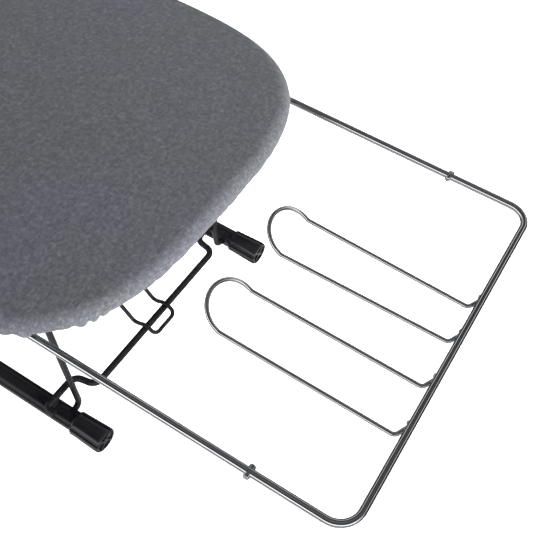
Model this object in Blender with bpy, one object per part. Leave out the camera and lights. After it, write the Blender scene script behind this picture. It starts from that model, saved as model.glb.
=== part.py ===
"""Table-top ironing board with a slide-out iron rack.

A steel board with a felt pad and a gathered cotton cover stands on two wire supports. The
supports swing on a base of two parallel tubes, so the board stays level while it folds down
towards its tail. A wire hook under the board catches the tail cross rod and locks the fold.
A wire rack slides out from under the tail.

Metres, +X towards the tail, +Y to the right as seen from the nose, +Z up. The origin is the
bottom centre of the whole object with its rack out.
"""
import math

import bmesh
import bpy
from mathutils import Matrix, Vector

GAP = 0.0003                # between pieces that touch

# Board
BOARD_LENGTH = 0.730
BOARD_HALF_WIDTH = 0.1625
TAIL_ROUNDING = 0.155       # length of the rounded tail
TAIL_POWER = 3.2            # superellipse power of the tail outline
NOSE_POWER = 2.2            # how late the sides start to taper
NOSE_BLUNTNESS = 0.55       # how round the nose tip is
TAIL_STEPS = 12
NOSE_STEPS = 24

# Rack
RAIL_RADIUS = 0.0025
RACK_REACH = 0.168          # end bar beyond the board's tail edge
RAIL_Y = 0.133
RAIL_BEND = 0.015
RAIL_INNER = 0.312          # inner end of the rails, from the end bar
RAIL_TURN_IN = 0.014
PIN_X = 0.062               # stop pins through the rails, from the end bar
PIN_RADIUS = 0.0021
PIN_REACH = 0.0047          # from the rail's axis to each end of its pin
FINGER_RADIUS = 0.0015
FINGER_BEND_X = 0.126       # where the finger loops turn up, from the end bar
FINGER_END_X = 0.0055
FINGER_END_RUN = 0.014      # how far each end runs along under the end bar
FINGER_LOOP_LENGTH = 0.021
FINGER_LOOP_ANGLE = math.radians(34.5)
FINGERS = {"rack_finger_right": ((0.0415, 0.0384), (0.0056, 0.0070)),
           "rack_finger_left": ((-0.0297, -0.0307), (-0.0668, -0.0678))}

# Base
TUBE_RADIUS = 0.008
TUBE_BORE = 0.0068
TUBE_Y = 0.110
TUBE_Z = 0.010              # tube axis above the flats under the foot caps
CAP_RADIUS = 0.0105
CAP_NECK = 0.0096
CAP_LENGTH = 0.029
CAP_END_WALL = 0.005
CAP_TAIL_END = 0.196        # tail cap's end, from the end bar
BASE_NOSE_X = -0.300
ROD_RADIUS = 0.00275
ROD_TAIL_X = 0.228          # tail cross rod, from the end bar
ROD_JOG = 0.019             # its ends are this much nearer the nose than its middle
ROD_JOG_Y = (0.0805, 0.084)
ROD_JOG_RADIUS = 0.008
ROD_TIP = 0.008             # length of the turned tip

# Supports
SUPPORT_RADIUS = 0.0025
SUPPORT_Y = 0.096
SUPPORT_TAIL_X = 0.233      # lower pivot, from the end bar
SUPPORT_LEAN = 0.027        # the upper pivot is this much nearer the nose
SUPPORT_SPACING = 0.450     # from the tail support to the nose support
PIN_CLEARANCE = 0.00035

# Heights
RACK_Z = TUBE_Z + 0.167
PIVOT_TOP_Z = RACK_Z + 0.012
HEM_Z = RACK_Z + 0.0105
COVER_TOP_Z = RACK_Z + 0.0225
COVER_THICKNESS = 0.0012
PANEL_TOP_Z = COVER_TOP_Z - 0.0045
PANEL_THICKNESS = 0.0012
RIM_HEIGHT = 0.0055
EDGE_WIDTH = 0.010          # rounded shoulder of the pad
EDGE_HEIGHT = 0.007
HEM_CURL = 0.0085           # how far the skin curls in under the shoulder
HEM_LIP = 0.014

# Hook
HOOK_RADIUS = 0.0017
HOOK_Y = -0.004             # middle of the hook
HOOK_HALF_WIDTH = 0.0133
HOOK_PIVOT_X = 0.405        # from the end bar
HOOK_PIVOT_Z = RACK_Z + 0.0115
HOOK_DIP = 0.0026

END_BAR_X = (BOARD_LENGTH + RACK_REACH + RAIL_RADIUS) / 2 - RAIL_RADIUS
TAIL_X = END_BAR_X - RACK_REACH
NOSE_X = TAIL_X - BOARD_LENGTH
PANEL_BOTTOM_Z = PANEL_TOP_Z - PANEL_THICKNESS
FLANGE_THICKNESS = 0.0012
FLANGE_Z = PANEL_BOTTOM_Z - GAP - FLANGE_THICKNESS
ROD_Z = TUBE_Z + TUBE_RADIUS + ROD_RADIUS + GAP
TAIL_PIVOT_X = END_BAR_X - SUPPORT_TAIL_X
NOSE_PIVOT_X = TAIL_PIVOT_X - SUPPORT_SPACING
ROD_SETBACK = ROD_TAIL_X + ROD_JOG - SUPPORT_TAIL_X
SIDES = {"left": -1, "right": 1}


# ---------------------------------------------------------------- helpers

def material(name, colour, roughness, metallic):
    found = bpy.data.materials.get(name)
    if found:
        return found
    made = bpy.data.materials.new(name)
    made.use_nodes = True
    shader = made.node_tree.nodes["Principled BSDF"]
    shader.inputs["Base Color"].default_value = (*colour, 1)
    shader.inputs["Roughness"].default_value = roughness
    shader.inputs["Metallic"].default_value = metallic
    return made


def chrome():
    return material("chrome", (0.62, 0.62, 0.63), 0.12, 1.0)


def black_paint():
    return material("black_paint", (0.025, 0.025, 0.028), 0.35, 0.0)


def black_plastic():
    return material("black_plastic", (0.015, 0.015, 0.017), 0.3, 0.0)


def zinc():
    return material("zinc", (0.5, 0.5, 0.5), 0.4, 1.0)


def white_paint():
    return material("white_paint", (0.6, 0.6, 0.6), 0.45, 0.0)


def add_object(name, data, finish):
    made = bpy.data.objects.new(name, data)
    data.materials.append(finish)
    bpy.context.scene.collection.objects.link(made)
    return made


def mesh_object(name, bm, finish):
    bmesh.ops.recalc_face_normals(bm, faces=bm.faces)
    mesh = bpy.data.meshes.new(name)
    bm.to_mesh(mesh)
    bm.free()
    mesh.shade_smooth()
    mesh.set_sharp_from_angle(angle=math.radians(35))
    return add_object(name, mesh, finish)


def add_loft(bm, rings, closed=False):
    """Join equal rings of points with quads; cap the ends unless the last ring meets the first."""
    made = [[bm.verts.new(point) for point in ring] for ring in rings]
    pairs = list(zip(made, made[1:]))
    if closed:
        pairs.append((made[-1], made[0]))
    else:
        bm.faces.new(made[0])
        bm.faces.new(made[-1])
    for low, high in pairs:
        for i in range(len(low)):
            j = (i + 1) % len(low)
            bm.faces.new((low[i], low[j], high[j], high[i]))


def loft(name, rings, finish, closed=False):
    bm = bmesh.new()
    add_loft(bm, rings, closed)
    return mesh_object(name, bm, finish)


def ring_x(x, radius, centre, sides):
    """A circle of points around the X direction, at x, about centre = (y, z)."""
    turn = [2 * math.pi * (i + 0.5) / sides for i in range(sides)]
    return [(x, centre[0] + radius * math.sin(a), centre[1] - radius * math.cos(a)) for a in turn]


def add_box(bm, low, high):
    size = Vector(high) - Vector(low)
    middle = (Vector(high) + Vector(low)) / 2
    place = Matrix.Translation(middle) @ Matrix.Diagonal((*size, 1))
    bmesh.ops.create_cube(bm, size=1, matrix=place)


def add_cylinder(bm, middle, radius, length, axis, sides):
    turn = Vector((0, 0, 1)).rotation_difference(Vector(axis)).to_matrix().to_4x4()
    place = Matrix.Translation(middle) @ turn
    bmesh.ops.create_cone(bm, cap_ends=True, segments=sides, radius1=radius, radius2=radius,
                          depth=length, matrix=place)


def cutter(name, bm):
    made = mesh_object(name, bm, black_paint())
    made.hide_render = True
    made.display_type = "WIRE"
    return made


def boolean(piece, tool, operation):
    change = piece.modifiers.new(tool.name, "BOOLEAN")
    change.operation = operation
    change.solver = "EXACT"
    change.object = tool


def rounded_path(points, radii, steps=5):
    """A polyline with its inner corners turned into arcs, one radius for each inner corner."""
    points = [Vector(point) for point in points]
    path = [points[0]]
    for before, corner, after, radius in zip(points, points[1:], points[2:], radii):
        back = (before - corner).normalized()
        ahead = (after - corner).normalized()
        half = back.angle(ahead) / 2
        reach = radius / math.tan(half)
        centre = corner + (back + ahead).normalized() * radius / math.sin(half)
        start = corner + back * reach - centre
        end = corner + ahead * reach - centre
        for i in range(steps + 1):
            path.append(centre + start.slerp(end, i / steps) * start.length)
    path.append(points[-1])
    return path


def wire(name, path, radius, finish, resolution=2, cyclic=False):
    curve = bpy.data.curves.new(name, "CURVE")
    curve.dimensions = "3D"
    curve.bevel_depth = radius
    curve.bevel_resolution = resolution
    curve.use_fill_caps = True
    spline = curve.splines.new("POLY")
    spline.points.add(len(path) - 1)
    spline.use_cyclic_u = cyclic
    for point, place in zip(spline.points, path):
        point.co = (*place, 1)
    return add_object(name, curve, finish)


def both_sides(half):
    """A path symmetric about the middle plane, from its half on the +Y side, outer end first."""
    return half + [(x, -y, z) for x, y, z in reversed(half)]


# ---------------------------------------------------------------- board outline

def outline(inset=0.0):
    """Points round the board's edge, moved inwards by inset."""
    right = []
    for i in range(TAIL_STEPS + 1):
        angle = math.pi / 2 * i / TAIL_STEPS
        x = TAIL_X - TAIL_ROUNDING + TAIL_ROUNDING * max(math.cos(angle), 0) ** (2 / TAIL_POWER)
        y = BOARD_HALF_WIDTH * math.sin(angle) ** (2 / TAIL_POWER)
        right.append((x, y))
    taper = BOARD_LENGTH - TAIL_ROUNDING
    for i in range(1, NOSE_STEPS + 1):
        along = math.sin(math.pi / 2 * i / NOSE_STEPS)
        y = BOARD_HALF_WIDTH * max(1 - along ** NOSE_POWER, 0) ** NOSE_BLUNTNESS
        right.append((TAIL_X - TAIL_ROUNDING - taper * along, y))
    edge = right + [(x, -y) for x, y in reversed(right[1:-1])]
    moved = []
    for i, point in enumerate(edge):
        before = edge[i - 1]
        after = edge[(i + 1) % len(edge)]
        along = Vector((after[0] - before[0], after[1] - before[1])).normalized()
        moved.append((point[0] - along.y * inset, point[1] + along.x * inset))
    return moved


def edge_ring(inset, z):
    return [(x, y, z) for x, y in outline(inset)]


def shoulder(depth, first=0.0, steps=4):
    """Insets and heights of the pad's rounded shoulder, depth below its outer skin."""
    places = []
    for i in range(steps + 1):
        angle = first + (math.pi / 2 - first) * i / steps
        inset = EDGE_WIDTH - (EDGE_WIDTH - depth) * math.cos(angle)
        height = COVER_TOP_Z - EDGE_HEIGHT + (EDGE_HEIGHT - depth) * math.sin(angle)
        places.append((inset, height))
    return places


def curl(depth):
    """Insets and heights of the skin's underside, an ellipse, depth inside its outer face."""
    height = COVER_TOP_Z - EDGE_HEIGHT - HEM_Z
    places = []
    for turn in (math.pi / 2, math.pi / 3, math.pi / 6):
        normal = Vector((math.cos(turn) / HEM_CURL, math.sin(turn) / height)).normalized()
        inset = HEM_CURL * (1 - math.cos(turn)) + depth * normal.x
        places.append((inset, HEM_Z + height * (1 - math.sin(turn)) + depth * normal.y))
    return places if depth == 0.0 else places[::-1]


# ---------------------------------------------------------------- soft layers

def make_cover():
    """The cotton cover: top, rounded shoulder, side and the hem that turns in under the rim."""
    outside = [(HEM_LIP, HEM_Z)] + curl(0.0)
    inside = curl(COVER_THICKNESS) + [(HEM_LIP, HEM_Z + COVER_THICKNESS)]
    skin = outside + shoulder(0.0)
    lining = list(reversed(shoulder(COVER_THICKNESS))) + inside
    bm = bmesh.new()
    rings = [[bm.verts.new(point) for point in edge_ring(*place)] for place in skin + lining]
    top = len(skin) - 1
    bm.faces.new(rings[top])
    bm.faces.new(rings[top + 1])
    for k, low in enumerate(rings):
        if k == top:
            continue
        high = rings[(k + 1) % len(rings)]
        for i in range(len(low)):
            j = (i + 1) % len(low)
            bm.faces.new((low[i], low[j], high[j], high[i]))
    mesh_object("cover", bm, material("cover_cotton", (0.12, 0.125, 0.15), 0.95, 0.0))


def make_felt_pad():
    depth = COVER_THICKNESS + 0.0004
    low = PANEL_TOP_Z + GAP
    first = math.asin((low - COVER_TOP_Z + EDGE_HEIGHT) / (EDGE_HEIGHT - depth))
    rings = [edge_ring(*place) for place in shoulder(depth, first, 3)]
    loft("felt_pad", rings, material("felt", (0.55, 0.54, 0.5), 1.0, 0.0))


def make_elastic_cord():
    radius = 0.0012
    height = HEM_Z + COVER_THICKNESS + GAP + radius
    path = edge_ring(0.012, height)
    wire("elastic_cord", path, radius, material("elastic", (0.7, 0.7, 0.68), 0.8, 0.0), 1, True)


# ---------------------------------------------------------------- board metal

def make_rim():
    """The rolled steel edge that the panel is welded into."""
    chamfer = 0.0012
    undercut = 0.003
    low = PANEL_TOP_Z - RIM_HEIGHT
    outer = 0.0032
    inner = 0.009
    section = [(outer, low + undercut), (outer, PANEL_TOP_Z - chamfer), (outer + chamfer, PANEL_TOP_Z),
               (inner, PANEL_TOP_Z), (inner, low + chamfer), (inner - chamfer, low), (outer + undercut, low)]
    loft("board_rim", [edge_ring(*place) for place in section], white_paint(), closed=True)


def vent_places():
    """Staggered rows of vent holes, kept clear of the rim and of everything fastened below."""
    spacing = 0.06
    places = []
    for row in range(-2, 3):
        for column in range(11):
            x = TAIL_X - 0.05 - spacing * column - (spacing / 2 if row % 2 else 0)
            y = row * 0.056
            reach = (TAIL_X - TAIL_ROUNDING - x) / (BOARD_LENGTH - TAIL_ROUNDING)
            half = BOARD_HALF_WIDTH * max(1 - max(reach, 0) ** NOSE_POWER, 0) ** NOSE_BLUNTNESS
            near_wire = min(abs(x - TAIL_PIVOT_X + SUPPORT_LEAN), abs(x - NOSE_PIVOT_X + SUPPORT_LEAN)) < 0.018
            near_hook = abs(x - END_BAR_X + HOOK_PIVOT_X) < 0.03 and row == 0
            if abs(y) < half - 0.03 and not near_wire and not near_hook:
                places.append((x, y))
    return places


def make_panel():
    rings = [edge_ring(0.0093, PANEL_BOTTOM_Z), edge_ring(0.0093, PANEL_TOP_Z)]
    panel = loft("board_panel", rings, white_paint())
    bm = bmesh.new()
    middle = (PANEL_BOTTOM_Z + PANEL_TOP_Z) / 2
    for x, y in vent_places():
        add_cylinder(bm, (x, y, middle), 0.007, 0.006, (0, 0, 1), 8)
    for x, y in rivet_places():
        add_cylinder(bm, (x, y, middle), 0.002, 0.006, (0, 0, 1), 8)
    boolean(panel, cutter("panel_holes", bm), "DIFFERENCE")


def make_stiffener(side, sign):
    """A pressed channel under the panel, open upwards, between the two support pivots."""
    low = PANEL_BOTTOM_Z - 0.006
    top = PANEL_BOTTOM_Z - GAP
    half = 0.009
    wall = 0.001
    start = NOSE_PIVOT_X - SUPPORT_LEAN + 0.025
    end = TAIL_PIVOT_X - SUPPORT_LEAN - 0.025
    section = [(-half - 0.006, top), (-half - 0.006, top - wall), (-half, top - wall), (-half + 0.003, low),
               (half - 0.003, low), (half, top - wall), (half + 0.006, top - wall), (half + 0.006, top),
               (half - 0.0004, top), (half - 0.0034, low + wall), (-half + 0.0034, low + wall),
               (-half + 0.0004, top)]
    rings = [[(x, sign * 0.045 + y, z) for y, z in section] for x in (start, end)]
    loft("board_stiffener_" + side, rings, white_paint())


# ---------------------------------------------------------------- brackets, guides and rivets

RIVET_REACH = 0.0125


def bracket_sites():
    """Name, x and y of every flanged bracket that carries the supports."""
    for end, pivot in (("tail", TAIL_PIVOT_X), ("nose", NOSE_PIVOT_X)):
        for side, sign in SIDES.items():
            yield f"pivot_bracket_{end}_{side}", pivot - SUPPORT_LEAN, sign * 0.082


def guide_sites():
    for end, back in (("tail", 0.250), ("inner", 0.302)):
        for side, sign in SIDES.items():
            yield f"rack_guide_{end}_{side}", END_BAR_X - back, sign * RAIL_Y


def rivet_places():
    places = []
    for _, x, y in bracket_sites():
        places += [(x - RIVET_REACH, y), (x + RIVET_REACH, y)]
    for _, x, y in guide_sites():
        places.append((x, y - math.copysign(0.013, y)))
    hook_x = END_BAR_X - HOOK_PIVOT_X
    places += [(hook_x - RIVET_REACH, HOOK_Y), (hook_x + RIVET_REACH, HOOK_Y)]
    return places


def cut_rivet_holes(piece):
    bm = bmesh.new()
    for x, y in rivet_places():
        add_cylinder(bm, (x, y, FLANGE_Z), 0.002, 0.004, (0, 0, 1), 8)
    boolean(piece, cutter(piece.name + "_rivet_holes", bm), "DIFFERENCE")


def make_pivot_bracket(name, x, y):
    """A strap riveted under the panel with an eye around the support's upper wire."""
    half = 0.005
    eye = 0.0046
    bm = bmesh.new()
    add_box(bm, (x - 0.017, y - half, FLANGE_Z), (x + 0.017, y + half, FLANGE_Z + FLANGE_THICKNESS))
    bracket = mesh_object(name, bm, zinc())
    bm = bmesh.new()
    add_cylinder(bm, (x, y, PIVOT_TOP_Z), eye, 2 * half, (0, 1, 0), 16)
    boolean(bracket, cutter(name + "_eye", bm), "UNION")
    bm = bmesh.new()
    add_cylinder(bm, (x, y, PIVOT_TOP_Z), SUPPORT_RADIUS + PIN_CLEARANCE, 4 * half, (0, 1, 0), 16)
    boolean(bracket, cutter(name + "_bore", bm), "DIFFERENCE")
    cut_rivet_holes(bracket)


def make_rack_guide(name, x, y):
    """A moulded block with a bore that a rail slides in, and a flange for its rivet."""
    half = 0.006
    inward = -math.copysign(1, y)
    bm = bmesh.new()
    add_box(bm, (x - half, y - half, RACK_Z - 0.0045), (x + half, y + half, PANEL_BOTTOM_Z - GAP))
    guide = mesh_object(name, bm, black_plastic())
    bm = bmesh.new()
    ends = sorted((y, y + inward * 0.019))
    add_box(bm, (x - half, ends[0], FLANGE_Z), (x + half, ends[1], FLANGE_Z + FLANGE_THICKNESS))
    boolean(guide, cutter(name + "_flange", bm), "UNION")
    bm = bmesh.new()
    add_cylinder(bm, (x, y, RACK_Z), RAIL_RADIUS + PIN_CLEARANCE, 4 * half, (1, 0, 0), 16)
    boolean(guide, cutter(name + "_bore", bm), "DIFFERENCE")
    cut_rivet_holes(guide)


def make_hook_bracket():
    x = END_BAR_X - HOOK_PIVOT_X
    half = HOOK_HALF_WIDTH + 0.006
    ear = 0.0015
    bm = bmesh.new()
    add_box(bm, (x - 0.017, HOOK_Y - half, FLANGE_Z), (x + 0.017, HOOK_Y + half, FLANGE_Z + FLANGE_THICKNESS))
    bracket = mesh_object("hook_bracket", bm, zinc())
    bm = bmesh.new()
    for sign in SIDES.values():
        ends = sorted((HOOK_Y + sign * half, HOOK_Y + sign * (half - ear)))
        add_box(bm, (x - 0.005, ends[0], HOOK_PIVOT_Z - 0.004), (x + 0.005, ends[1], FLANGE_Z + 0.0005))
    boolean(bracket, cutter("hook_bracket_ears", bm), "UNION")
    bm = bmesh.new()
    add_cylinder(bm, (x, 0, HOOK_PIVOT_Z), HOOK_RADIUS + PIN_CLEARANCE, 0.06, (0, 1, 0), 12)
    boolean(bracket, cutter("hook_bracket_bore", bm), "DIFFERENCE")
    cut_rivet_holes(bracket)


def make_rivet(number, x, y):
    """A domed rivet with its head under a flange and its shank through the panel."""
    shank = 0.0016
    head = 0.0032
    under = FLANGE_Z - GAP
    profile = [(under - 0.0013, head * 0.5), (under - 0.0008, head * 0.85), (under, head), (under, shank),
               (PANEL_TOP_Z - 0.0001, shank)]
    turn = [2 * math.pi * i / 8 for i in range(8)]
    rings = [[(x + r * math.cos(a), y + r * math.sin(a), z) for a in turn] for z, r in profile]
    loft(f"rivet_{number:02d}", rings, zinc())


# ---------------------------------------------------------------- base

def make_base_tube(side, sign):
    centre = (sign * TUBE_Y, TUBE_Z)
    start = BASE_NOSE_X + CAP_END_WALL + GAP
    end = END_BAR_X - CAP_TAIL_END - CAP_END_WALL - GAP
    rings = [ring_x(start, TUBE_RADIUS, centre, 20), ring_x(end, TUBE_RADIUS, centre, 20),
             ring_x(end, TUBE_BORE, centre, 20), ring_x(start, TUBE_BORE, centre, 20)]
    tube = loft("base_tube_" + side, rings, black_paint(), closed=True)
    bm = bmesh.new()
    for x in (TAIL_PIVOT_X, NOSE_PIVOT_X):
        middle = (x, sign * (TUBE_Y - TUBE_RADIUS), TUBE_Z)
        add_cylinder(bm, middle, SUPPORT_RADIUS + PIN_CLEARANCE, 0.008, (0, 1, 0), 12)
    boolean(tube, cutter(f"base_tube_{side}_holes", bm), "DIFFERENCE")


def make_foot_cap(end, side, sign, tip, inward):
    """A flared plastic cap pushed over the tube, flat underneath, ribbed on its end face."""
    centre = (sign * TUBE_Y, TUBE_Z)
    back = CAP_LENGTH
    profile = [(back, CAP_NECK - 0.0008), (back - 0.001, CAP_NECK), (0.003, CAP_RADIUS),
               (0.0008, CAP_RADIUS - 0.0001), (0.0, CAP_RADIUS - 0.0009), (0.0, 0.0082), (0.0013, 0.0077)]
    rings = [ring_x(tip + inward * x, r, centre, 24) for x, r in profile]
    cap = loft(f"foot_cap_{end}_{side}", rings, black_plastic())
    bm = bmesh.new()
    add_cylinder(bm, (tip + inward * (CAP_END_WALL + 0.02), *centre), TUBE_RADIUS + GAP, 0.04, (1, 0, 0), 24)
    low, high = sorted((tip - inward * 0.001, tip + inward * (back + 0.001)))
    add_box(bm, (low, centre[0] - 0.012, -0.01), (high, centre[0] + 0.012, 0.0))
    boolean(cap, cutter(cap.name + "_bore_and_flat", bm), "DIFFERENCE")
    bm = bmesh.new()
    low, high = sorted((tip + inward * 0.0002, tip + inward * 0.002))
    add_box(bm, (low, centre[0] - 0.0007, TUBE_Z - 0.008), (high, centre[0] + 0.0007, TUBE_Z + 0.008))
    boolean(cap, cutter(cap.name + "_rib", bm), "UNION")


def make_cross_rod(name, straight_x, end_x):
    """A wire over both tubes. Its right end stops on one, its left end is turned down beside the other."""
    tip_y = -TUBE_Y - 0.0065
    tip_z = ROD_Z - 0.0012
    half = [(end_x, TUBE_Y + 0.0025, ROD_Z)]
    radii = [0.004, 0.0034]
    if straight_x != end_x:
        half += [(end_x, ROD_JOG_Y[1], ROD_Z), (straight_x, ROD_JOG_Y[0], ROD_Z)]
        radii = 4 * [ROD_JOG_RADIUS] + radii
    tip = [(end_x, tip_y, tip_z), (end_x + ROD_TIP, tip_y, tip_z)]
    wire(name, rounded_path(both_sides(half) + tip, radii, 4), ROD_RADIUS, black_paint())


# ---------------------------------------------------------------- supports and hook

def make_support(name, pivot_x):
    """A wire frame: a pin into each tube, two leaning arms and the upper wire between them."""
    pin_end = TUBE_Y - 0.0045
    half = [(pivot_x, pin_end, TUBE_Z), (pivot_x, SUPPORT_Y, TUBE_Z),
            (pivot_x - SUPPORT_LEAN, SUPPORT_Y, PIVOT_TOP_Z)]
    path = rounded_path(both_sides(half), [0.006, 0.008, 0.008, 0.006])
    wire(name, path, SUPPORT_RADIUS, black_paint())


def make_hook():
    """The locking bail: two arms from the bracket, a dip, a step over the rod and a closed end."""
    pivot_x = END_BAR_X - HOOK_PIVOT_X
    rod_x = END_BAR_X - ROD_TAIL_X
    over_z = ROD_Z + ROD_RADIUS + HOOK_RADIUS + GAP
    y = HOOK_HALF_WIDTH
    half = [(pivot_x, y + 0.008, HOOK_PIVOT_Z), (pivot_x, y, HOOK_PIVOT_Z), (rod_x - 0.0115, y, over_z - HOOK_DIP),
            (rod_x - 0.0075, y, over_z - HOOK_DIP), (rod_x - 0.002, y, over_z), (rod_x + 0.003, y, over_z),
            (rod_x + 0.0105, y, over_z - 0.005)]
    radii = [0.003, 0.005, 0.003, 0.003, 0.003, 0.005]
    path = rounded_path(both_sides(half), radii + radii[::-1], 4)
    wire("hook", [point + Vector((0, HOOK_Y, 0)) for point in path], HOOK_RADIUS, black_paint())


# ---------------------------------------------------------------- rack

def make_rack_frame():
    inner_x = END_BAR_X - RAIL_INNER
    half = [(inner_x, RAIL_Y - RAIL_TURN_IN, RACK_Z), (inner_x, RAIL_Y, RACK_Z), (END_BAR_X, RAIL_Y, RACK_Z)]
    path = rounded_path(both_sides(half), [0.005, RAIL_BEND, RAIL_BEND, 0.005])
    frame = wire("rack_frame", path, RAIL_RADIUS, chrome(), 3)
    bm = bmesh.new()
    for sign in SIDES.values():
        middle = (END_BAR_X - PIN_X, sign * RAIL_Y, RACK_Z)
        add_cylinder(bm, middle, PIN_RADIUS, 2 * PIN_REACH, (0, 1, 0), 16)
    solid = frame.evaluated_get(bpy.context.evaluated_depsgraph_get())
    bar = bmesh.new()
    bar.from_mesh(bpy.data.meshes.new_from_object(solid))
    bpy.data.objects.remove(frame)
    bmesh.ops.remove_doubles(bar, verts=bar.verts, dist=0.00001)
    boolean(mesh_object("rack_frame", bar, chrome()), cutter("rack_pins", bm), "UNION")


def make_finger(name, outer, inner):
    """A U of thin wire under the end bar; its loop is bent up to stop an iron from sliding off."""
    low = RACK_Z - RAIL_RADIUS - FINGER_RADIUS - GAP
    bend_x = END_BAR_X - FINGER_BEND_X
    end_x = END_BAR_X - FINGER_END_X

    def tail_end(y):
        return [(END_BAR_X + 0.0009, y + FINGER_END_RUN, low), (end_x, y, low)]

    radius = (outer[0] - inner[0]) / 2
    middle = (outer[0] + inner[0]) / 2
    straight = FINGER_LOOP_LENGTH - radius
    loop = []
    for i in range(13):
        angle = math.pi * i / 12
        along = straight + radius * math.sin(angle)
        loop.append((bend_x - along * math.cos(FINGER_LOOP_ANGLE), middle + radius * math.cos(angle),
                     low + along * math.sin(FINGER_LOOP_ANGLE)))
    first = rounded_path(tail_end(outer[1]) + [(bend_x, outer[0], low)], [0.004], 4)
    last = rounded_path(tail_end(inner[1]) + [(bend_x, inner[0], low)], [0.004], 4)
    wire(name, first + loop + last[::-1], FINGER_RADIUS, chrome())


# ---------------------------------------------------------------- assembly

def build():
    for old in list(bpy.data.objects):
        bpy.data.objects.remove(old)
    tail_tip = END_BAR_X - CAP_TAIL_END
    for side, sign in SIDES.items():
        make_base_tube(side, sign)
        make_foot_cap("tail", side, sign, tail_tip, -1)
        make_foot_cap("nose", side, sign, BASE_NOSE_X, 1)
        make_stiffener(side, sign)
    make_cross_rod("tail_cross_rod", END_BAR_X - ROD_TAIL_X, TAIL_PIVOT_X - ROD_SETBACK)
    make_cross_rod("nose_cross_rod", NOSE_PIVOT_X - ROD_SETBACK, NOSE_PIVOT_X - ROD_SETBACK)
    make_support("tail_support", TAIL_PIVOT_X)
    make_support("nose_support", NOSE_PIVOT_X)
    make_rim()
    make_panel()
    for name, x, y in bracket_sites():
        make_pivot_bracket(name, x, y)
    for name, x, y in guide_sites():
        make_rack_guide(name, x, y)
    make_hook_bracket()
    for number, (x, y) in enumerate(rivet_places(), 1):
        make_rivet(number, x, y)
    make_felt_pad()
    make_cover()
    make_elastic_cord()
    make_hook()
    make_rack_frame()
    for name, (outer, inner) in FINGERS.items():
        make_finger(name, outer, inner)


build()
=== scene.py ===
"""Looks of the table-top ironing board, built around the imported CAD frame.

Metres, +X towards the tail with the rack, +Z up. Every wire, tube and cap is made again with a
smooth surface on the CAD's own sizes, the cover gets its gathered hem, and each material is
made of nodes.
"""
import math

import bmesh
import bpy
import numpy as np
from mathutils import Matrix, Vector, noise


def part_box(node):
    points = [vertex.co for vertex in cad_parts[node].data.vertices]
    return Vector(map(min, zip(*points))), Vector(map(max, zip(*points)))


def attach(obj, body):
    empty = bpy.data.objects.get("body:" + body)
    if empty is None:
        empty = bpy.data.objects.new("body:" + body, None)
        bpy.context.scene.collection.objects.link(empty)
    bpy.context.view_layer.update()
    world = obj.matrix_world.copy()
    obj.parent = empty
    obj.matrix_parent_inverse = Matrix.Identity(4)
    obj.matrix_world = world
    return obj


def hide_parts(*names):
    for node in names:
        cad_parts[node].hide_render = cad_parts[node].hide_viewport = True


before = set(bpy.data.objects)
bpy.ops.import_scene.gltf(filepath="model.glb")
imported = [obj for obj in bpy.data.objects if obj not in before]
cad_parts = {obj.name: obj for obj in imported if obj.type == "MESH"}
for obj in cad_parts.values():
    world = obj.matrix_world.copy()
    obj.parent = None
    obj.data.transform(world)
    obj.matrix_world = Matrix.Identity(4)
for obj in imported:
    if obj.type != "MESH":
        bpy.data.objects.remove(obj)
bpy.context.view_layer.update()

# ---------------------------------------------------------------- sizes

GAP = 0.0003                # between pieces that rest on each other
SIDES = {"left": -1, "right": 1}

# the rack
RACK_LOW, RACK_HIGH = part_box("rack_frame")
RAIL_RADIUS = 0.0025
RAIL_TURN_IN = 0.014        # the rails' inner ends are turned towards each other
RAIL_TURN_RADIUS = 0.005
RAIL_CORNER = 0.015
PIN_X = 0.062               # the stop pins, from the end bar
PIN_RADIUS = 0.0021
PIN_CROWN = 0.0010
PIN_REACH = 0.0047          # half a stop pin's length
END_BAR_X = RACK_HIGH[0] - RAIL_RADIUS
RACK_Z = (RACK_LOW[2] + RACK_HIGH[2]) / 2
RAIL_Y = RACK_HIGH[1] - PIN_REACH
RAIL_INNER_X = RACK_LOW[0] + RAIL_RADIUS
FINGER_RADIUS = 0.0015
FINGER_BEND_X = 0.126       # where a finger's loop turns up, from the end bar
FINGER_END_X = 0.0055       # where a leg turns along the end bar
FINGER_END_RUN = 0.014      # the turned end, which runs along and under the end bar
FINGER_LOOP_LENGTH = 0.021
FINGER_LOOP_ANGLE = math.radians(34.5)
FINGER_WELD = (0.0022, 0.0028, 0.0012)
FINGERS = {                 # each leg's place across the rack, at the loop and at the end bar
    "right": ((0.0415, 0.0384), (0.0056, 0.0070)),
    "left": ((-0.0297, -0.0307), (-0.0668, -0.0678)),
}

# the cover
COVER_LOW, COVER_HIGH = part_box("cover")
NOSE_X = COVER_LOW[0]
TAIL_X = COVER_HIGH[0]
HALF_WIDTH = COVER_HIGH[1]
COVER_TOP_Z = COVER_HIGH[2]
HEM_Z = COVER_LOW[2]
TAIL_ROUNDING = 0.155
TAIL_POWER = 3.2
NOSE_POWER = 2.2
NOSE_BLUNTNESS = 0.55
EDGE_WIDTH = 0.010
EDGE_HEIGHT = 0.007
HEM_CURL = 0.0085           # how far the side turns in under the rim
CASING_RADIUS = 0.0019      # the hem's tunnel for the elastic
CASING_INSET = 0.0025       # from the curl's end to the tunnel's middle
CLOTH_THICKNESS = 0.0008
SKIN_LOWERED = 0.0003       # keeps the uneven skin inside the CAD cover
AROUND = 1900               # points round the cover

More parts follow.
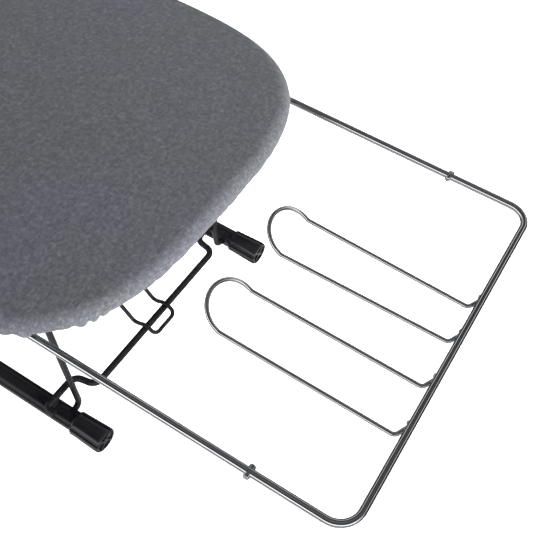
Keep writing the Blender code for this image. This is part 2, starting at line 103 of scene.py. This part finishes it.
# the base, the supports and the hook
TUBE_Y = 0.110
TUBE_Z = 0.010
TUBE_RADIUS = 0.008
TUBE_BORE = 0.0068
TUBE_HOLE_RADIUS = 0.00275
ROD_RADIUS = 0.00275
ROD_Z = TUBE_Z + TUBE_RADIUS + ROD_RADIUS + GAP
ROD_TAIL_X = 0.228          # the tail cross rod, from the end bar
ROD_SETBACK = 0.014         # the rods' ends, from the supports' lower pivots
ROD_JOG_Y = (0.0805, 0.084)
ROD_JOG_RADIUS = 0.008
ROD_TIP = 0.008             # length of the turned tip
ROD_WELD = (0.0042, 0.0052, 0.0016)
SUPPORT_RADIUS = 0.0025
SUPPORT_Y = 0.096
SUPPORT_LEAN = 0.027
PIVOT_TOP_Z = RACK_Z + 0.012
TAIL_PIVOT_X = END_BAR_X - 0.233
NOSE_PIVOT_X = TAIL_PIVOT_X - 0.450
HOOK_RADIUS = 0.0017
HOOK_PIVOT_X = 0.405        # from the end bar
HOOK_PIVOT_Z = RACK_Z + 0.0115
HOOK_HALF_WIDTH = 0.0133
HOOK_DIP = 0.0026           # how far it dips before it steps over the rod
HOOK_Y = -0.004             # the hook is a little left of the middle


# ---------------------------------------------------------------- material helpers

class Nodes:
    """A small wrapper that adds shader nodes and joins them."""

    def __init__(self, name):
        self.material = bpy.data.materials.new(name)
        self.material.use_nodes = True
        self.tree = self.material.node_tree
        self.shader = self.tree.nodes["Principled BSDF"]
        self.place = self.add("ShaderNodeTexCoord").outputs["Object"]

    def add(self, kind, **settings):
        node = self.tree.nodes.new(kind)
        for key, value in settings.items():
            setattr(node, key, value)
        return node

    def link(self, source, target):
        self.tree.links.new(source, target)

    def stretched(self, scale, turn=0.0):
        node = self.add("ShaderNodeMapping")
        node.inputs["Scale"].default_value = scale
        node.inputs["Rotation"].default_value = (0, 0, turn)
        self.link(self.place, node.inputs["Vector"])
        return node.outputs["Vector"]

    def noise(self, scale, detail=3.0, roughness=0.5, place=None):
        node = self.add("ShaderNodeTexNoise")
        node.inputs["Scale"].default_value = scale
        node.inputs["Detail"].default_value = detail
        node.inputs["Roughness"].default_value = roughness
        self.link(place or self.place, node.inputs["Vector"])
        return node.outputs["Fac"]

    def wave(self, scale, direction):
        node = self.add("ShaderNodeTexWave", bands_direction=direction)
        node.inputs["Scale"].default_value = scale
        node.inputs["Distortion"].default_value = 1.2
        node.inputs["Detail Scale"].default_value = 2.0
        self.link(self.place, node.inputs["Vector"])
        return node.outputs["Fac"]

    def ramp(self, factor, stops):
        node = self.add("ShaderNodeValToRGB")
        while len(node.color_ramp.elements) < len(stops):
            node.color_ramp.elements.new(0.5)
        for element, (at, colour) in zip(node.color_ramp.elements, stops):
            element.position = at
            element.color = (*colour, 1)
        self.link(factor, node.inputs["Fac"])
        return node.outputs["Color"]

    def between(self, factor, low, high):
        node = self.add("ShaderNodeMapRange")
        node.inputs["To Min"].default_value = low
        node.inputs["To Max"].default_value = high
        self.link(factor, node.inputs["Value"])
        return node.outputs["Result"]

    def multiplied(self, first, second):
        node = self.add("ShaderNodeMix", data_type="RGBA", blend_type="MULTIPLY")
        node.inputs["Factor"].default_value = 1.0
        self.link(first, node.inputs[6])
        self.link(second, node.inputs[7])
        return node.outputs[2]

    def maths(self, kind, first, second):
        node = self.add("ShaderNodeMath", operation=kind)
        for socket, value in zip(node.inputs, (first, second)):
            if isinstance(value, (int, float)):
                socket.default_value = value
            else:
                self.link(value, socket)
        return node.outputs[0]

    def bump(self, height, strength, distance):
        node = self.add("ShaderNodeBump")
        node.inputs["Strength"].default_value = strength
        node.inputs["Distance"].default_value = distance
        self.link(height, node.inputs["Height"])
        self.link(node.outputs["Normal"], self.shader.inputs["Normal"])

    def colour(self, factor, stops):
        """The base colour, graded by a factor."""
        self.link(self.ramp(factor, stops), self.shader.inputs["Base Color"])

    def roughness(self, factor, low, high):
        self.link(self.between(factor, low, high), self.shader.inputs["Roughness"])

    def set(self, **values):
        for key, value in values.items():
            self.shader.inputs[key.replace("_", " ")].default_value = value


# ---------------------------------------------------------------- materials

def cover_cotton():
    """Blue-grey melange cotton: mottled yarns, short fibres, a fine plain weave and a soft nap."""
    m = Nodes("cover_cotton")
    clouds = m.noise(9.0, 2.0)
    mottle = m.noise(330.0, 5.0, 0.68)
    fibres = m.noise(1.0, 3.0, 0.6, m.stretched((1500, 330, 700), 0.7))
    cross = m.noise(1.0, 3.0, 0.6, m.stretched((360, 1400, 700), -0.3))
    yarns = m.ramp(mottle, [(0.32, (0.077, 0.078, 0.092)), (0.5, (0.097, 0.098, 0.114)),
                            (0.68, (0.138, 0.139, 0.160))])
    light = m.ramp(fibres, [(0.35, (0.80, 0.80, 0.80)), (0.62, (1.17, 1.17, 1.17))])
    light_cross = m.ramp(cross, [(0.35, (0.9, 0.9, 0.9)), (0.65, (1.09, 1.09, 1.09))])
    cloudy = m.ramp(clouds, [(0.35, (0.97, 1.0, 0.93)), (0.65, (1.02, 1.0, 1.07))])
    for tint in (light, light_cross, cloudy):
        yarns = m.multiplied(yarns, tint)
    m.link(yarns, m.shader.inputs["Base Color"])
    m.roughness(mottle, 0.86, 0.98)
    weave = m.maths("MULTIPLY", m.wave(520.0, "X"), m.wave(520.0, "Y"))
    height = m.maths("ADD", m.maths("MULTIPLY", weave, 0.35), m.maths("ADD", mottle, fibres))
    m.bump(height, 0.55, 0.0005)
    m.set(Sheen_Weight=0.25, Sheen_Roughness=0.45, Specular_IOR_Level=0.2)
    return m.material


def felt():
    """Undyed needled felt."""
    m = Nodes("felt")
    fibres = m.noise(500.0, 4.0, 0.7)
    m.colour(fibres, [(0.3, (0.42, 0.41, 0.38)), (0.7, (0.66, 0.65, 0.61))])
    m.bump(fibres, 0.5, 0.0006)
    m.set(Roughness=1.0, Sheen_Weight=0.3)
    return m.material


def elastic():
    """White braided elastic cord."""
    m = Nodes("elastic")
    ribs = m.wave(300.0, "DIAGONAL")
    m.colour(ribs, [(0.2, (0.5, 0.5, 0.48)), (0.8, (0.74, 0.74, 0.72))])
    m.bump(ribs, 0.4, 0.0002)
    m.set(Roughness=0.85)
    return m.material


def chrome_wire():
    """Bright plating over drawn wire: faint lengthwise drawing marks and a slight haze."""
    m = Nodes("chrome_wire")
    haze = m.noise(55.0, 4.0, 0.6)
    marks = m.noise(900.0, 2.0, 0.5)
    m.colour(haze, [(0.3, (0.58, 0.59, 0.60)), (0.7, (0.68, 0.69, 0.70))])
    m.roughness(haze, 0.03, 0.10)
    m.bump(marks, 0.04, 0.0001)
    m.set(Metallic=1.0)
    return m.material


def black_paint():
    """Satin black powder coat with a fine orange-peel surface."""
    m = Nodes("black_paint")
    peel = m.noise(700.0, 2.0, 0.45)
    wear = m.noise(35.0, 5.0, 0.65)
    m.colour(wear, [(0.35, (0.006, 0.006, 0.007)), (0.75, (0.013, 0.013, 0.015))])
    m.roughness(wear, 0.20, 0.34)
    m.bump(peel, 0.08, 0.0001)
    m.set(Specular_IOR_Level=0.3)
    return m.material


def black_plastic():
    """Injection-moulded polypropylene: glossier than the paint, with a light spark-eroded grain."""
    m = Nodes("black_plastic")
    grain = m.noise(1300.0, 2.0, 0.6)
    sheen = m.noise(60.0, 3.0, 0.5)
    m.colour(sheen, [(0.3, (0.005, 0.005, 0.006)), (0.7, (0.010, 0.010, 0.012))])
    m.roughness(sheen, 0.14, 0.24)
    m.bump(grain, 0.08, 0.0001)
    return m.material


def board_steel():
    """Light grey powder coat on the pressed steel board."""
    m = Nodes("board_steel")
    peel = m.noise(420.0, 3.0, 0.5)
    tone = m.noise(18.0, 3.0, 0.6)
    m.colour(tone, [(0.3, (0.47, 0.48, 0.49)), (0.7, (0.56, 0.57, 0.58))])
    m.roughness(peel, 0.38, 0.55)
    m.bump(peel, 0.15, 0.0002)
    return m.material


def zinc_steel():
    """Zinc-plated brackets and rivets with the cloudy look of the plating."""
    m = Nodes("zinc_steel")
    spangle = m.noise(160.0, 4.0, 0.6)
    m.colour(spangle, [(0.3, (0.42, 0.43, 0.45)), (0.7, (0.62, 0.63, 0.66))])
    m.roughness(spangle, 0.25, 0.45)
    m.bump(spangle, 0.1, 0.0001)
    m.set(Metallic=1.0)
    return m.material


COTTON = cover_cotton()
FELT = felt()
ELASTIC = elastic()
CHROME = chrome_wire()
PAINT = black_paint()
PLASTIC = black_plastic()
STEEL = board_steel()
ZINC = zinc_steel()


# ---------------------------------------------------------------- building helpers

def place_piece(piece, body, slot, *nodes):
    """Puts a piece on a body, in the place of the CAD nodes given. The slot is not used."""
    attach(piece, body)
    if nodes:
        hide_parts(*nodes)


def mesh_piece(name, bm, material, angle=40):
    """An object from a bmesh, smooth but for edges sharper than the angle."""
    bmesh.ops.recalc_face_normals(bm, faces=bm.faces)
    mesh = bpy.data.meshes.new(name)
    bm.to_mesh(mesh)
    bm.free()
    mesh.shade_smooth()
    mesh.set_sharp_from_angle(angle=math.radians(angle))
    mesh.materials.append(material)
    piece = bpy.data.objects.new(name, mesh)
    bpy.context.scene.collection.objects.link(piece)
    return piece


def rounded_path(points, radii, steps=12):
    """A polyline with its inner corners turned into arcs, one radius for each inner corner."""
    points = [Vector(point) for point in points]
    path = [points[0]]
    for before, corner, after, radius in zip(points, points[1:], points[2:], radii):
        back = (before - corner).normalized()
        ahead = (after - corner).normalized()
        half = back.angle(ahead) / 2
        reach = radius / math.tan(half)
        centre = corner + (back + ahead).normalized() * radius / math.sin(half)
        start = corner + back * reach - centre
        end = corner + ahead * reach - centre
        for i in range(steps + 1):
            path.append(centre + start.slerp(end, i / steps) * start.length)
    path.append(points[-1])
    return path


def both_sides(half):
    """A path symmetric about the middle plane, from its half on the +Y side, outer end first."""
    return half + [(x, -y, z) for x, y, z in reversed(half)]


def wire(name, path, radius, material):
    """A round wire along a path, with closed ends."""
    curve = bpy.data.curves.new(name, "CURVE")
    curve.dimensions = "3D"
    curve.bevel_depth = radius
    curve.bevel_resolution = 6
    curve.use_fill_caps = True
    spline = curve.splines.new("POLY")
    spline.points.add(len(path) - 1)
    for point, at in zip(spline.points, path):
        point.co = (*at, 1)
    curve.materials.append(material)
    piece = bpy.data.objects.new(name, curve)
    bpy.context.scene.collection.objects.link(piece)
    return piece


def bridge(bm, rings):
    """Quads between each ring of vertices and the next."""
    for low, high in zip(rings, rings[1:]):
        for i in range(len(low)):
            j = (i + 1) % len(low)
            bm.faces.new((low[i], low[j], high[j], high[i]))


def turned(name, profile, centre, material, sides=72, closed=False, floor=None):
    """A piece turned about X; profile is (x, radius), centre is (y, z), floor a height it is cut flat at."""
    bm = bmesh.new()
    rings = []
    for x, radius in profile:
        ring = []
        for i in range(sides):
            angle = 2 * math.pi * (i + 0.5) / sides
            z = centre[1] - radius * math.cos(angle)
            if floor is not None:
                z = max(z, floor)
            ring.append(bm.verts.new((x, centre[0] + radius * math.sin(angle), z)))
        rings.append(ring)
    if closed:
        rings.append(rings[0])
    else:
        bm.faces.new(rings[0])
        bm.faces.new(rings[-1])
    bridge(bm, rings)
    return mesh_piece(name, bm, material)


def dome(name, centre, size, material):
    """A small rounded lump, such as a weld bead."""
    bm = bmesh.new()
    bmesh.ops.create_icosphere(bm, subdivisions=3, radius=1.0)
    for vert in bm.verts:
        at = vert.co * 2.3 + Vector(centre) * 300
        bump = 1 + 0.12 * noise.noise(at)
        vert.co = Vector((centre[k] + vert.co[k] * size[k] * bump for k in range(3)))
    return mesh_piece(name, bm, material, 80)


# ---------------------------------------------------------------- cover

def outline():
    """Evenly spaced points round the board's edge, and the outward normal at each."""
    turn = np.linspace(0, math.pi / 2, 400)
    tail_x = TAIL_X - TAIL_ROUNDING + TAIL_ROUNDING * np.clip(np.cos(turn), 0, 1) ** (2 / TAIL_POWER)
    tail_y = HALF_WIDTH * np.sin(turn) ** (2 / TAIL_POWER)
    along = np.sin(np.linspace(0, math.pi / 2, 600))[1:]
    nose_x = TAIL_X - TAIL_ROUNDING - (TAIL_X - TAIL_ROUNDING - NOSE_X) * along
    nose_y = HALF_WIDTH * np.clip(1 - along ** NOSE_POWER, 0, 1) ** NOSE_BLUNTNESS
    right = np.stack([np.concatenate([tail_x, nose_x]), np.concatenate([tail_y, nose_y])], 1)
    left = right[-2:0:-1] * (1, -1)
    edge = np.concatenate([right, left, right[:1]])
    length = np.concatenate([[0], np.cumsum(np.linalg.norm(np.diff(edge, axis=0), axis=1))])
    at = np.linspace(0, length[-1], AROUND, endpoint=False)
    points = np.stack([np.interp(at, length, edge[:, k]) for k in (0, 1)], 1)
    tangent = np.roll(points, -3, 0) - np.roll(points, 3, 0)
    tangent /= np.linalg.norm(tangent, axis=1)[:, None]
    return points, np.stack([tangent[:, 1], -tangent[:, 0]], 1), at


def gathers(at, points):
    """0 to 1 round the hem: rounded puffs between sharp tucks, and how strong they are at each point.

    The tucks are about 12 mm apart, unevenly. They are deepest at the tail's corners, and shallow
    across the tail, where the rack passes under them.
    """
    phase = at / 0.0058 + 0.9 * np.sin(at / 0.0167) + 0.35 * np.sin(at / 0.0061 + 1.0)
    phase += 0.8 * np.sin(at / 0.053)
    puffs = np.abs(np.sin(math.pi * phase / 2)) ** 0.55
    size = 0.66 + 0.34 * np.sin(at / 0.0083 + 1.3 * np.sin(at / 0.029))
    round_corner = np.exp(-((points[:, 0] - TAIL_X + 0.075) / 0.075) ** 2)
    middle_of_tail = (points[:, 0] > TAIL_X - 0.05) * np.clip(1 - (np.abs(points[:, 1]) - 0.075) / 0.03, 0, 1)
    strength = (0.6 + 0.6 * round_corner) * (1 - 0.60 * middle_of_tail)
    return puffs * size, strength


def cover_profile():
    """(inset, height, gather weight) down the skin: shoulder, curl under the rim, the hem's casing."""
    profile = []
    for i in range(13):
        angle = math.pi / 2 * (1 - i / 12)
        inset = EDGE_WIDTH * (1 - math.cos(angle))
        height = COVER_TOP_Z - EDGE_HEIGHT * (1 - math.sin(angle))
        profile.append((inset, height, 0.10 * (i / 12) ** 2))
    drop = COVER_TOP_Z - EDGE_HEIGHT - HEM_Z
    for i in range(1, 14):
        angle = math.pi / 2 * i / 13
        weight = 0.10 + 0.9 * math.sin(angle) ** 0.8
        profile.append((HEM_CURL * (1 - math.cos(angle)), HEM_Z + drop * (1 - math.sin(angle)), weight))
    for i in range(14):
        angle = -math.pi / 2 + 1.7 * math.pi * i / 13
        inset = HEM_CURL + CASING_INSET + CASING_RADIUS * math.cos(angle)
        profile.append((inset, HEM_Z + CASING_RADIUS * (1 + math.sin(angle)), 0.6 * (1 - i / 13)))
    return profile


def skin_rings():
    """Rings of points over the cover, from the middle of its top outwards and down to the hem."""
    points, normals, at = outline()
    puffs, strength = gathers(at, points)
    start = points - normals * EDGE_WIDTH
    spine = np.stack([np.clip(points[:, 0], NOSE_X + 0.10, TAIL_X - 0.08), np.zeros(AROUND)], 1)
    rings = []
    for part in np.linspace(0.96, 0.04, 22):
        flat = start * (1 - part) + spine * part
        rings.append(np.column_stack([flat, np.full(AROUND, COVER_TOP_Z)]))
    for inset, height, weight in cover_profile():
        out = weight * strength * (0.0044 * puffs - 0.0034)
        sink = weight * strength * (0.0052 * puffs - 0.0018)
        flat = points - normals * (inset - out)[:, None]
        rings.append(np.column_stack([flat, height - sink]))
    return rings


def softness(x, y):
    """The padding's slight waves under the cloth, in metres."""
    return 0.00022 * noise.noise((x * 16, y * 16, 0.3)) + 0.00012 * noise.noise((x * 55, y * 55, 4.0))


def make_cover():
    bm = bmesh.new()
    rings = []
    for ring in skin_rings():
        rings.append([bm.verts.new((x, y, z - SKIN_LOWERED + softness(x, y))) for x, y, z in ring])
    bm.faces.new(rings[0])
    bridge(bm, rings)
    cover = mesh_piece("cover_cloth", bm, COTTON, 80)
    skin = cover.modifiers.new("cloth_thickness", "SOLIDIFY")
    skin.thickness = CLOTH_THICKNESS
    skin.offset = -1
    place_piece(cover, "board", "cover_cotton", "cover")


# ---------------------------------------------------------------- base

def make_tube(side, sign):
    """An open tube with the supports' pivot holes in its inner wall."""
    low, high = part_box("base_tube_" + side)
    profile = [(low[0], TUBE_RADIUS), (high[0], TUBE_RADIUS), (high[0], TUBE_BORE), (low[0], TUBE_BORE)]
    tube = turned("tube_" + side, profile, (sign * TUBE_Y, TUBE_Z), PAINT, closed=True)
    bm = bmesh.new()
    for x in (TAIL_PIVOT_X, NOSE_PIVOT_X):
        bmesh.ops.create_cone(bm, cap_ends=True, segments=32, radius1=TUBE_HOLE_RADIUS,
                              radius2=TUBE_HOLE_RADIUS, depth=TUBE_RADIUS,
                              matrix=across(x, sign * (TUBE_Y - TUBE_RADIUS), TUBE_Z))
    tool = mesh_piece("tube_hole_tool_" + side, bm, PAINT)
    cut = tube.modifiers.new("pin_holes", "BOOLEAN")
    cut.object = tool
    bpy.context.view_layer.update()
    solid = tube.evaluated_get(bpy.context.evaluated_depsgraph_get())
    mesh = bpy.data.meshes.new_from_object(solid)
    tube.modifiers.clear()
    tube.data = mesh
    bpy.data.objects.remove(tool)
    place_piece(tube, "base", "black_steel", "base_tube_" + side)


def across(x, y, z):
    """A matrix that lays a cylinder along Y at a point."""
    return Matrix.Translation((x, y, z)) @ Matrix.Rotation(math.pi / 2, 4, "X")


def make_cap(end, side, sign, inward):
    """A flared cap: chamfered collar, smooth flank, raised ring, and a boss with crossed ribs on its end."""
    node = f"foot_cap_{end}_{side}"
    low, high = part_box(node)
    tip = high[0] if inward < 0 else low[0]
    centre = (sign * TUBE_Y, TUBE_Z)

    def shell(name, profile, **settings):
        """A turned piece whose profile is (distance from the cap's tip, radius)."""
        shape = [(tip + inward * x, radius) for x, radius in profile]
        return turned(f"{name}_{end}_{side}", shape, centre, PLASTIC, **settings)

    length = high[0] - low[0]
    flank = [(length, 0.0082), (length, 0.0086), (length - 0.0006, 0.0092), (length - 0.0016, 0.0097),
             (length - 0.003, 0.00975), (length - 0.0036, 0.0096), (length - 0.0042, 0.00965),
             (0.006, 0.0104), (0.0028, 0.0105), (0.0014, 0.0104), (0.0005, 0.0101), (0.0, 0.0096),
             (0.0, 0.0088), (0.0003, 0.0083), (0.0014, 0.0080), (0.0016, 0.0076)]
    place_piece(shell("cap", flank, floor=0.0), "base", "black_plastic", node)
    ribs = crossed_ribs(f"cap_ribs_{end}_{side}", tip + inward * 0.0010, centre)
    place_piece(ribs, "base", "black_plastic")
    boss = [(0.0016, 0.0026), (0.0006, 0.0025), (0.0003, 0.0022), (0.0003, 0.0008), (0.0010, 0.0006)]
    place_piece(shell("cap_boss", boss, sides=32), "base", "black_plastic")


def crossed_ribs(name, at_x, centre):
    """Two thin ribs that cross at 45 degrees, with rounded edges."""
    thick, long, wide = 0.0016, 0.0158, 0.0015
    bm = bmesh.new()
    for turn in (math.pi / 4, -math.pi / 4):
        for vert in bmesh.ops.create_cube(bm, size=1.0)["verts"]:
            x, y, z = vert.co.x * thick, vert.co.y * long, vert.co.z * wide
            vert.co = (at_x + x, centre[0] + y * math.cos(turn) - z * math.sin(turn),
                       centre[1] + y * math.sin(turn) + z * math.cos(turn))
    bmesh.ops.bevel(bm, geom=bm.edges[:], offset=0.0002, segments=2, affect="EDGES")
    return mesh_piece(name, bm, PLASTIC)


def make_cross_rod(node, straight_x, end_x):
    """A wire over both tubes, with a weld on each. Its left end is turned down beside the tube."""
    tip_y = -TUBE_Y - 0.0065
    tip_z = ROD_Z - 0.0012
    half = [(end_x, TUBE_Y + 0.0025, ROD_Z)]
    radii = [0.004, 0.0034]
    if straight_x != end_x:
        half += [(end_x, ROD_JOG_Y[1], ROD_Z), (straight_x, ROD_JOG_Y[0], ROD_Z)]
        radii = 4 * [ROD_JOG_RADIUS] + radii
    tip = [(end_x, tip_y, tip_z), (end_x + ROD_TIP, tip_y, tip_z)]
    rod = wire(node + "_wire", rounded_path(both_sides(half) + tip, radii), ROD_RADIUS, PAINT)
    place_piece(rod, "base", "black_steel", node)
    for side, sign in SIDES.items():
        at = (end_x, sign * TUBE_Y, TUBE_Z + TUBE_RADIUS + 0.0002)
        bead = dome(f"{node}_weld_{side}", at, ROD_WELD, PAINT)
        place_piece(bead, "base", "black_steel")


# ---------------------------------------------------------------- supports and hook

def make_support(node, pivot_x):
    """A wire bail: its feet in the tubes' holes, its upper wire in the board's brackets."""
    half = [(pivot_x, TUBE_Y - 0.0045, TUBE_Z), (pivot_x, SUPPORT_Y, TUBE_Z),
            (pivot_x - SUPPORT_LEAN, SUPPORT_Y, PIVOT_TOP_Z)]
    path = rounded_path(both_sides(half), [0.006, 0.008, 0.008, 0.006])
    place_piece(wire(node + "_wire", path, SUPPORT_RADIUS, PAINT), node, "black_steel", node)


def make_hook():
    """The locking bail: two arms from the bracket, a dip, a step over the rod and a closed end."""
    pivot_x = END_BAR_X - HOOK_PIVOT_X
    rod_x = END_BAR_X - ROD_TAIL_X
    over_z = ROD_Z + ROD_RADIUS + HOOK_RADIUS + GAP
    dip_z = over_z - HOOK_DIP
    y = HOOK_HALF_WIDTH
    half = [(pivot_x, y + 0.008, HOOK_PIVOT_Z), (pivot_x, y, HOOK_PIVOT_Z), (rod_x - 0.0115, y, dip_z),
            (rod_x - 0.0075, y, dip_z), (rod_x - 0.002, y, over_z), (rod_x + 0.003, y, over_z),
            (rod_x + 0.0105, y, over_z - 0.005)]
    radii = [0.003, 0.005, 0.003, 0.003, 0.003, 0.005]
    path = rounded_path(both_sides(half), radii + radii[::-1])
    moved = [point + Vector((0, HOOK_Y, 0)) for point in path]
    place_piece(wire("hook_wire", moved, HOOK_RADIUS, PAINT), "hook", "black_steel", "hook")


# ---------------------------------------------------------------- rack

def make_rack():
    """The rack's frame, with a stop pin through each rail."""
    half = [(RAIL_INNER_X, RAIL_Y - RAIL_TURN_IN, RACK_Z), (RAIL_INNER_X, RAIL_Y, RACK_Z),
            (END_BAR_X, RAIL_Y, RACK_Z)]
    path = rounded_path(both_sides(half), [RAIL_TURN_RADIUS, RAIL_CORNER, RAIL_CORNER, RAIL_TURN_RADIUS], 16)
    place_piece(wire("rack_wire", path, RAIL_RADIUS, CHROME), "rack", "chrome_wire", "rack_frame")
    for side, sign in SIDES.items():
        pin = stop_pin("rack_pin_" + side, (END_BAR_X - PIN_X, sign * RAIL_Y, RACK_Z))
        place_piece(pin, "rack", "chrome_wire")


def stop_pin(name, centre):
    """A short pin across the rail, with rounded ends."""
    profile = [(-PIN_REACH, 0.0004)]
    for i in range(1, 7):
        angle = math.pi / 2 * i / 6
        profile.append((-PIN_REACH + PIN_CROWN * (1 - math.cos(angle)), PIN_RADIUS * math.sin(angle)))
    profile += [(-x, r) for x, r in reversed(profile)]
    pin = turned(name, profile, (0.0, 0.0), CHROME, 32)
    pin.data.transform(Matrix.Translation(centre) @ Matrix.Rotation(math.pi / 2, 4, "Z"))
    return pin


def make_finger(node, outer, inner):
    """A wire loop under the end bar, its round end tilted up; outer and inner place its two legs."""
    low = RACK_Z - RAIL_RADIUS - FINGER_RADIUS - GAP
    bend_x = END_BAR_X - FINGER_BEND_X
    end_x = END_BAR_X - FINGER_END_X
    radius = (outer[0] - inner[0]) / 2
    middle = (outer[0] + inner[0]) / 2

    def leg(loop_y, bar_y):
        ends = [(END_BAR_X + 0.0009, bar_y + FINGER_END_RUN, low), (end_x, bar_y, low), (bend_x, loop_y, low)]
        return rounded_path(ends, [0.004])

    loop = []
    for i in range(41):
        angle = math.pi * i / 40
        along = FINGER_LOOP_LENGTH - radius + radius * math.sin(angle)
        loop.append(Vector((bend_x - along * math.cos(FINGER_LOOP_ANGLE), middle + radius * math.cos(angle),
                            low + along * math.sin(FINGER_LOOP_ANGLE))))
    path = leg(*outer) + loop + leg(*inner)[::-1]
    place_piece(wire(node + "_wire", path, FINGER_RADIUS, CHROME), "rack", "chrome_wire", node)
    for number, (_, bar_y) in enumerate((outer, inner), 1):
        at = (END_BAR_X - 0.0012, bar_y + 0.0105, low + 0.0016)
        bead = dome(f"{node}_weld_{number}", at, FINGER_WELD, CHROME)
        place_piece(bead, "rack", "chrome_wire")


# ---------------------------------------------------------------- pieces that stay as CAD made them

def finish_nodes():
    """Materials for the CAD nodes that stay, and fine rounded edges on the small fittings."""
    looks = {"felt_pad": FELT, "elastic_cord": ELASTIC, "board_panel": STEEL, "board_rim": STEEL,
             "board_stiffener": STEEL, "pivot_bracket": ZINC, "hook_bracket": ZINC, "rivet": ZINC,
             "rack_guide": PLASTIC}
    for name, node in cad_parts.items():
        for start, material in looks.items():
            if name.startswith(start):
                node.data.materials.clear()
                node.data.materials.append(material)
                if material in (ZINC, PLASTIC):
                    round_edges(node)


def round_edges(node):
    weld = node.modifiers.new("weld", "WELD")
    weld.merge_threshold = 0.00002
    edge = node.modifiers.new("edges", "BEVEL")
    edge.width = 0.00025
    edge.segments = 2
    edge.limit_method = "ANGLE"


# ---------------------------------------------------------------- stage

def make_stage():
    """A white floor, and a white backdrop round it that lets the studio's light through.

    Neither shows in reflections.
    """
    m = Nodes("stage_white")
    m.set(Base_Color=(0.86, 0.86, 0.86, 1), Roughness=0.9)
    m.set(Emission_Color=(1, 1, 1, 1), Emission_Strength=1.1)
    bm = bmesh.new()
    bmesh.ops.create_grid(bm, x_segments=1, y_segments=1, size=6.0)
    floor = mesh_piece("floor", bm, m.material)
    floor.location.z = -0.0002
    bm = bmesh.new()
    bmesh.ops.create_uvsphere(bm, u_segments=48, v_segments=24, radius=5.9)
    below = [face for face in bm.faces if face.calc_center_median().z < 0]
    bmesh.ops.delete(bm, geom=below, context="FACES")
    backdrop = mesh_piece("backdrop", bm, m.material)
    backdrop.visible_shadow = False
    for piece in (floor, backdrop):
        piece.visible_glossy = False
        piece.visible_diffuse = False


def area_light(name, place, target, size, power):
    """A soft light that doesn't show in reflections."""
    light = bpy.data.lights.new(name, "AREA")
    light.shape = "RECTANGLE"
    light.size, light.size_y = size
    light.energy = power
    lamp = bpy.data.objects.new(name, light)
    lamp.location = place
    lamp.rotation_euler = (Vector(target) - Vector(place)).to_track_quat("-Z", "Y").to_euler()
    lamp.visible_glossy = False
    bpy.context.scene.collection.objects.link(lamp)


def make_world():
    """A dark studio with level bright strips, which chrome and paint mirror along their length.

    A strip is (height, brightness) stops, from -1 straight down to 1 straight up. The camera's side
    and the far side have their own strips, blended across the middle.
    """
    world = bpy.data.worlds.new("studio")
    bpy.context.scene.world = world
    world.use_nodes = True
    tree = world.node_tree
    place = tree.nodes.new("ShaderNodeTexCoord")
    split = tree.nodes.new("ShaderNodeSeparateXYZ")
    tree.links.new(place.outputs["Generated"], split.inputs[0])

    def graded(axis, stops):
        level = tree.nodes.new("ShaderNodeMapRange")
        level.inputs["From Min"].default_value = -1.0
        tree.links.new(split.outputs[axis], level.inputs["Value"])
        ramp = tree.nodes.new("ShaderNodeValToRGB")
        while len(ramp.color_ramp.elements) < len(stops):
            ramp.color_ramp.elements.new(0.5)
        for element, (at, value) in zip(ramp.color_ramp.elements, stops):
            element.position = (at + 1) / 2
            element.color = (value, value, value * 1.02, 1)
        tree.links.new(level.outputs["Result"], ramp.inputs["Fac"])
        return ramp.outputs["Color"]

    dark = 0.06
    near_low_strip = [(-0.88, dark), (-0.82, 1.1), (-0.62, 1.1), (-0.54, dark)]
    near_wall = [(-0.16, dark), (-0.08, 1.0), (0.14, 1.0), (0.20, 2.1), (0.40, 2.1), (0.48, dark)]
    far_low_strip = [(-0.95, dark), (-0.87, 0.8), (-0.74, 0.8), (-0.66, dark)]
    far_strip = [(0.34, dark), (0.40, 1.0), (0.50, 1.0), (0.56, dark)]
    ceiling = [(0.8, dark), (1.0, 0.14)]
    near = graded("Z", near_low_strip + near_wall + ceiling)
    far = graded("Z", far_low_strip + far_strip + ceiling)
    mix = tree.nodes.new("ShaderNodeMix")
    mix.data_type = "RGBA"
    tree.links.new(graded("Y", [(-0.25, 0.0), (0.25, 1.0)]), mix.inputs["Factor"])
    tree.links.new(near, mix.inputs[6])
    tree.links.new(far, mix.inputs[7])
    back = tree.nodes["Background"]
    tree.links.new(mix.outputs[2], back.inputs["Color"])
    back.inputs["Strength"].default_value = 1.0


def make_camera():
    """The view is down and towards the nose, from the left of the tail."""
    camera = bpy.data.cameras.new("camera")
    camera.sensor_width = 36
    camera.lens = 52.43
    holder = bpy.data.objects.new("camera", camera)
    holder.location = (END_BAR_X + 0.0104, -0.2867, RACK_Z + 0.4095)
    holder.rotation_euler = (math.radians(36.20), math.radians(-4.537), math.radians(31.53))
    bpy.context.scene.collection.objects.link(holder)
    bpy.context.scene.camera = holder


# ---------------------------------------------------------------- assembly

# Whites stay white, and thin dark edges stay dark.
bpy.context.scene.view_settings.view_transform = "Standard"
make_camera()
make_world()
make_stage()
area_light("tail_side", (1.35, -0.2, 0.35), (0.2, 0.0, 0.15), (1.0, 0.5), 40)
area_light("far_top", (0.3, 0.85, 1.35), (0.3, 0.0, 0.15), (0.45, 0.5), 10)

finish_nodes()
make_cover()
for side, sign in SIDES.items():
    make_tube(side, sign)
    make_cap("tail", side, sign, -1)
    make_cap("nose", side, sign, 1)
make_cross_rod("tail_cross_rod", END_BAR_X - ROD_TAIL_X, TAIL_PIVOT_X - ROD_SETBACK)
make_cross_rod("nose_cross_rod", NOSE_PIVOT_X - ROD_SETBACK, NOSE_PIVOT_X - ROD_SETBACK)
make_support("tail_support", TAIL_PIVOT_X)
make_support("nose_support", NOSE_PIVOT_X)
make_hook()
make_rack()
for side, legs in FINGERS.items():
    make_finger("rack_finger_" + side, *legs)
